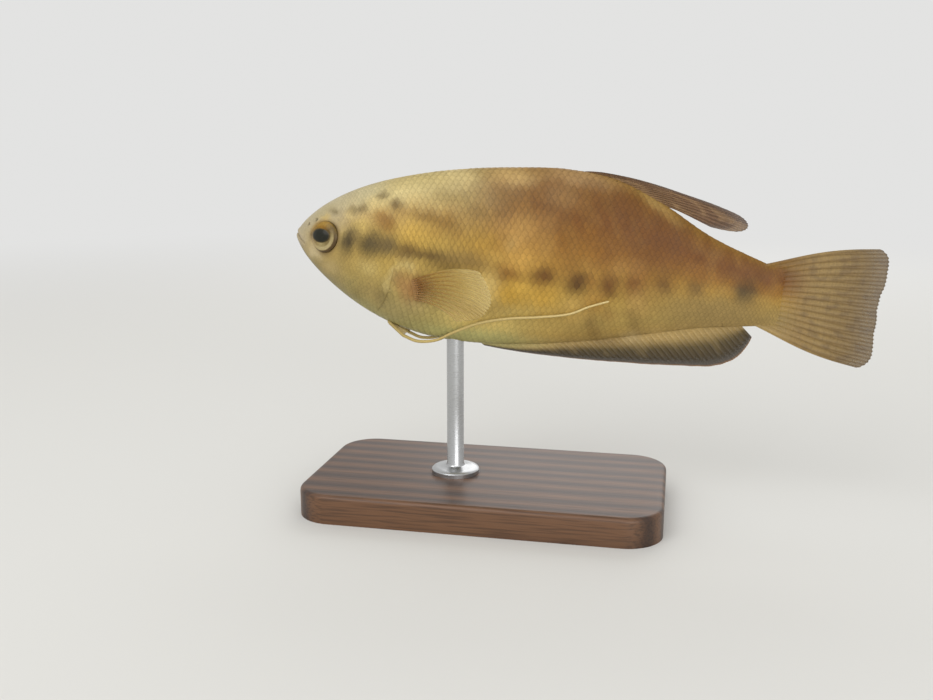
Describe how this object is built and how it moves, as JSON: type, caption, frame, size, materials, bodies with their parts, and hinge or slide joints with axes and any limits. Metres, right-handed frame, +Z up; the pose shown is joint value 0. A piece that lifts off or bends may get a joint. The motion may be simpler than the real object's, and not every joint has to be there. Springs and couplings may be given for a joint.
{
  "type": "snakeskin gourami fish model on a display stand",
  "caption": "Life-size still model of a snakeskin gourami swimming level with its fins spread, held over a flat base by one short rod.",
  "frame": {"origin": "middle of the underside of the stand's base, which rests on the floor", "axes": "+Z up, the fish lies along X with its snout towards -X and its left side facing -Y"},
  "size_m": [0.1982, 0.0852, 0.1178],
  "materials": {
    "skin": "scaled golden olive skin, satin",
    "eye": "glossy gold eye with a black pupil",
    "fin": "thin brown rayed membrane, satin",
    "base": "dark oiled wood",
    "rod": "brushed"
  },
  "bodies": {
    "root": {"head": "skin", "trunk": "skin", "tail_stem": "skin", "eye_left": "eye", "eye_right": "eye", "dorsal_fin": "fin", "anal_fin": "fin", "caudal_fin": "fin", "pectoral_fin_left": "fin", "pectoral_fin_right": "fin", "pelvic_fin_left": "fin", "pelvic_fin_right": "fin", "pelvic_thread_left_front": "fin", "pelvic_thread_left_rear": "fin", "pelvic_thread_right_front": "fin", "pelvic_thread_right_rear": "fin", "stand_base": "base", "stand_rod": "rod"}
  },
  "joints": []
}
